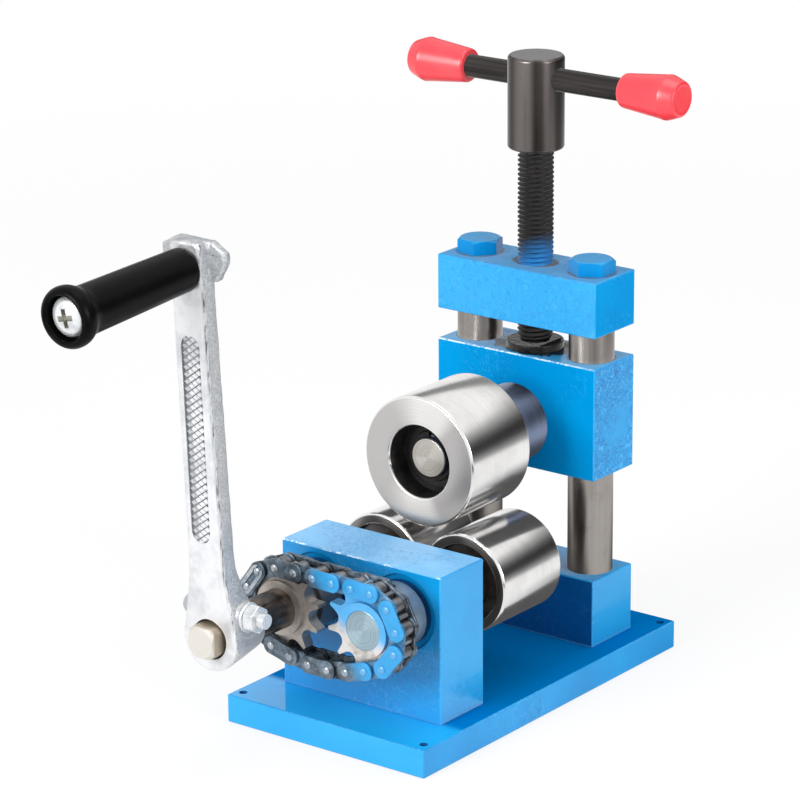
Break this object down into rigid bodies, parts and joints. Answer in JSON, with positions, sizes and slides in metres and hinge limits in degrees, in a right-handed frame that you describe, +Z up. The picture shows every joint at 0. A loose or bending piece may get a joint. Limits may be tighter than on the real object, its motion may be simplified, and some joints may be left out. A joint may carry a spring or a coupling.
{
  "type": "ring bending machine",
  "caption": "Bench-top ring bending machine: crank-driven, chain-linked lower rollers and a free upper roller on a carriage that a T-handled screw sets.",
  "frame": {"origin": "centre of the base plate's underside", "axes": "+Z up; +Y from the crank to the rear posts, along the roller axes; +X to the right seen from the crank"},
  "size_m": [0.1329, 0.298, 0.2577],
  "materials": {
    "blue_paint": "gloss sky-blue enamel with a fine orange-peel grain",
    "polished_steel": "turned and mirror polished",
    "ground_steel": "ground, slightly warm grey",
    "bearing_steel": "satin bearing steel",
    "black_steel": "black oxide",
    "red_plastic": "gloss moulded",
    "black_plastic": "gloss moulded",
    "cast_silver": "bright cast, grainy on the sides",
    "zinc_plate": "bright zinc plated",
    "raw_steel": "raw turned steel, slightly tan",
    "chain_steel": "blue-grey heat-treated steel",
    "chain_bright": "bright riveted pins"
  },
  "bodies": {
    "frame": {"base_plate": "blue_paint", "front_bearing_block": "blue_paint", "rear_post_block": "blue_paint", "guide_post_left": "ground_steel", "guide_post_right": "ground_steel", "bridge_bar": "blue_paint", "bridge_bolts": "blue_paint", "block_screws": "ground_steel", "lower_bearing_outer_rings": "bearing_steel", "lower_bearing_balls": "bearing_steel", "lower_bearing_shields": "bearing_steel", "chain_outer_plates": "chain_steel", "chain_inner_plates": "chain_steel", "chain_pins": "chain_bright", "chain_rollers": "chain_steel", "chain_clip": "chain_bright"},
    "carriage": {"carriage_block": "blue_paint", "screw_gland": "black_steel", "upper_spindle": "ground_steel", "upper_bearing_inner_rings": "bearing_steel", "spindle_retaining_ring": "black_steel"},
    "screw": {"lead_screw": "black_steel", "thrust_collar": "black_steel", "handle_hub": "black_steel"},
    "handle_bar": {"cross_bar": "black_steel", "cap_left": "red_plastic", "cap_right": "red_plastic"},
    "upper_roller_body": {"upper_roller": "polished_steel", "upper_bearing_outer_rings": "bearing_steel", "upper_bearing_balls": "bearing_steel", "upper_bearing_shields": "bearing_steel"},
    "crank_drive": {"drive_shaft": "ground_steel", "drive_roller": "polished_steel", "drive_bearing_inner_rings": "bearing_steel", "drive_sleeve": "ground_steel", "drive_retaining_ring": "black_steel", "drive_sprocket": "raw_steel", "drive_set_screw": "black_steel", "crank_arm": "cast_silver", "cotter_pin": "zinc_plate", "cotter_washer": "zinc_plate", "cotter_nut": "zinc_plate", "grip_bolt": "zinc_plate", "grip_nut": "zinc_plate"},
    "grip": {"crank_grip": "black_plastic"},
    "driven_roller_body": {"driven_shaft": "ground_steel", "driven_roller": "polished_steel", "driven_bearing_inner_rings": "bearing_steel", "driven_sleeve": "ground_steel", "driven_retaining_ring": "black_steel", "driven_sprocket": "raw_steel", "driven_set_screw": "black_steel"}
  },
  "joints": [
    {"name": "carriage_slide", "type": "slide", "parent": "frame", "child": "carriage", "axis": [0, 0, 1], "range_m": [-0.0043, 0.0095]},
    {"name": "screw_turn", "type": "hinge", "parent": "carriage", "child": "screw", "pos_m": [0, 0.05585, 0.2], "axis": [0, 0, 1], "range_deg": [-790, 1730]},
    {"name": "handle_bar_slide", "type": "slide", "parent": "screw", "child": "handle_bar", "axis": [1, 0, 0], "range_m": [-0.0316, 0.0212]},
    {"name": "upper_roller_spin", "type": "hinge", "parent": "carriage", "child": "upper_roller_body", "pos_m": [0, 0, 0.10413], "axis": [0, 1, 0], "continuous": true},
    {"name": "crank_turn", "type": "hinge", "parent": "frame", "child": "crank_drive", "pos_m": [-0.0212, 0, 0.0561], "axis": [0, 1, 0], "continuous": true, "deforming": ["chain_outer_plates", "chain_inner_plates", "chain_pins", "chain_rollers", "chain_clip"]},
    {"name": "driven_roller_turn", "type": "hinge", "parent": "frame", "child": "driven_roller_body", "pos_m": [0.0212, 0, 0.0561], "axis": [0, 1, 0], "continuous": true, "deforming": ["chain_outer_plates", "chain_inner_plates", "chain_pins", "chain_rollers", "chain_clip"]},
    {"name": "grip_spin", "type": "hinge", "parent": "crank_drive", "child": "grip", "pos_m": [-0.02251, -0.17011, 0.20622], "axis": [-0.0005, 0.9986, 0.0523], "continuous": true}
  ],
  "couplings": [
    {"joint": "screw_turn", "follows": "carriage_slide", "rad_per_m": 3141.6},
    {"joint": "driven_roller_turn", "follows": "crank_turn", "ratio": 1}
  ]
}
